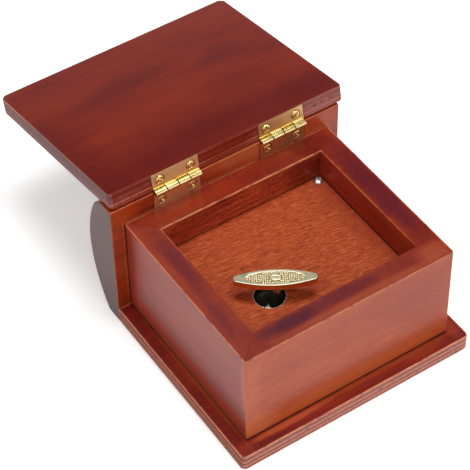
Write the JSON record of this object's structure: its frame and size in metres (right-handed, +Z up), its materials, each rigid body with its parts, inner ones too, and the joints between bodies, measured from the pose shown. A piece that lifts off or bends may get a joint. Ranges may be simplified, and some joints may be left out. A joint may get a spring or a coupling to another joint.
{
  "type": "wooden music box",
  "caption": "Book-shaped wooden music box: rounded spine, hinged lid board, mitred walls and a recessed panel with a winding key.",
  "frame": {"origin": "centre of the base board's underside", "axes": "+Z up, +X along the spine to the right of the box seen from its front wall, +Y from the front wall towards the spine and the open lid"},
  "size_m": [0.1118, 0.1828, 0.073],
  "materials": {
    "mahogany_stain": "stained and varnished, satin",
    "panel_veneer": "stained veneer, dull",
    "raw_wood": "sawn",
    "polished_brass": "polished",
    "pale_brass": "satin, slightly tarnished",
    "nickel": "nickel plated",
    "cast_zinc": "gold-toned casting",
    "spring_steel": "ground",
    "black_plastic": "moulded"
  },
  "bodies": {
    "box": {"base_board": "mahogany_stain", "spine_block": "mahogany_stain", "front_wall": "mahogany_stain", "back_wall": "mahogany_stain", "left_wall": "mahogany_stain", "right_wall": "mahogany_stain", "inner_panel": "panel_veneer", "corner_block_front_left": "raw_wood", "corner_block_front_right": "raw_wood", "corner_block_back_left": "raw_wood", "corner_block_back_right": "raw_wood", "panel_screw_front_left": "nickel", "panel_screw_front_right": "nickel", "panel_screw_back_left": "nickel", "panel_screw_back_right": "nickel", "hinge_leaf_spine_left": "polished_brass", "hinge_leaf_spine_right": "polished_brass", "hinge_pin_left": "polished_brass", "hinge_pin_right": "polished_brass", "hinge_screw_spine_left_a": "polished_brass", "hinge_screw_spine_left_b": "polished_brass", "hinge_screw_spine_right_a": "polished_brass", "hinge_screw_spine_right_b": "polished_brass", "bedplate": "cast_zinc", "movement_screw_1": "nickel", "movement_screw_2": "nickel", "movement_screw_3": "nickel", "click": "spring_steel", "click_screw": "nickel", "comb": "spring_steel", "comb_screw_1": "nickel", "comb_screw_2": "nickel", "cylinder_bracket_left": "cast_zinc", "cylinder_bracket_right": "cast_zinc", "governor_frame": "cast_zinc"},
    "lid": {"lid_board": "mahogany_stain", "hinge_leaf_lid_left": "polished_brass", "hinge_leaf_lid_right": "polished_brass", "hinge_screw_lid_left_a": "polished_brass", "hinge_screw_lid_left_b": "polished_brass", "hinge_screw_lid_right_a": "polished_brass", "hinge_screw_lid_right_b": "polished_brass"},
    "key": {"winding_key": "pale_brass", "winding_arbor": "spring_steel"},
    "spring_barrel": {"spring_housing": "cast_zinc", "mainspring": "spring_steel"},
    "cylinder": {"pinned_cylinder": "pale_brass", "cylinder_shaft": "spring_steel", "drive_pinion": "pale_brass", "governor_gear": "pale_brass"},
    "governor": {"governor_arbor": "spring_steel", "worm_wheel": "pale_brass"},
    "fan_shaft": {"worm_shaft": "spring_steel", "fan": "black_plastic"}
  },
  "joints": [
    {"name": "lid_hinge", "type": "hinge", "parent": "box", "child": "lid", "pos_m": [0, 0.0453, 0.0644], "axis": [1, 0, 0], "range_deg": [0, 190.59]},
    {"name": "key_winding", "type": "hinge", "parent": "box", "child": "key", "pos_m": [-0.014, -0.0082, 0.0419], "axis": [0, 0, 1], "continuous": true},
    {"name": "barrel_spin", "type": "hinge", "parent": "box", "child": "spring_barrel", "pos_m": [-0.014, -0.0082, 0.027], "axis": [0, 0, 1], "continuous": true},
    {"name": "cylinder_spin", "type": "hinge", "parent": "box", "child": "cylinder", "pos_m": [0, -0.0082, 0.02222], "axis": [1, 0, 0], "continuous": true},
    {"name": "governor_spin", "type": "hinge", "parent": "box", "child": "governor", "pos_m": [0, -0.0162, 0.02222], "axis": [1, 0, 0], "continuous": true},
    {"name": "fan_spin", "type": "hinge", "parent": "box", "child": "fan_shaft", "pos_m": [0.024, -0.0217, 0], "axis": [0, 0, 1], "continuous": true}
  ],
  "couplings": [
    {"joint": "barrel_spin", "follows": "cylinder_spin", "ratio": -0.4},
    {"joint": "governor_spin", "follows": "cylinder_spin", "ratio": -3},
    {"joint": "fan_spin", "follows": "cylinder_spin", "ratio": -24}
  ]
}
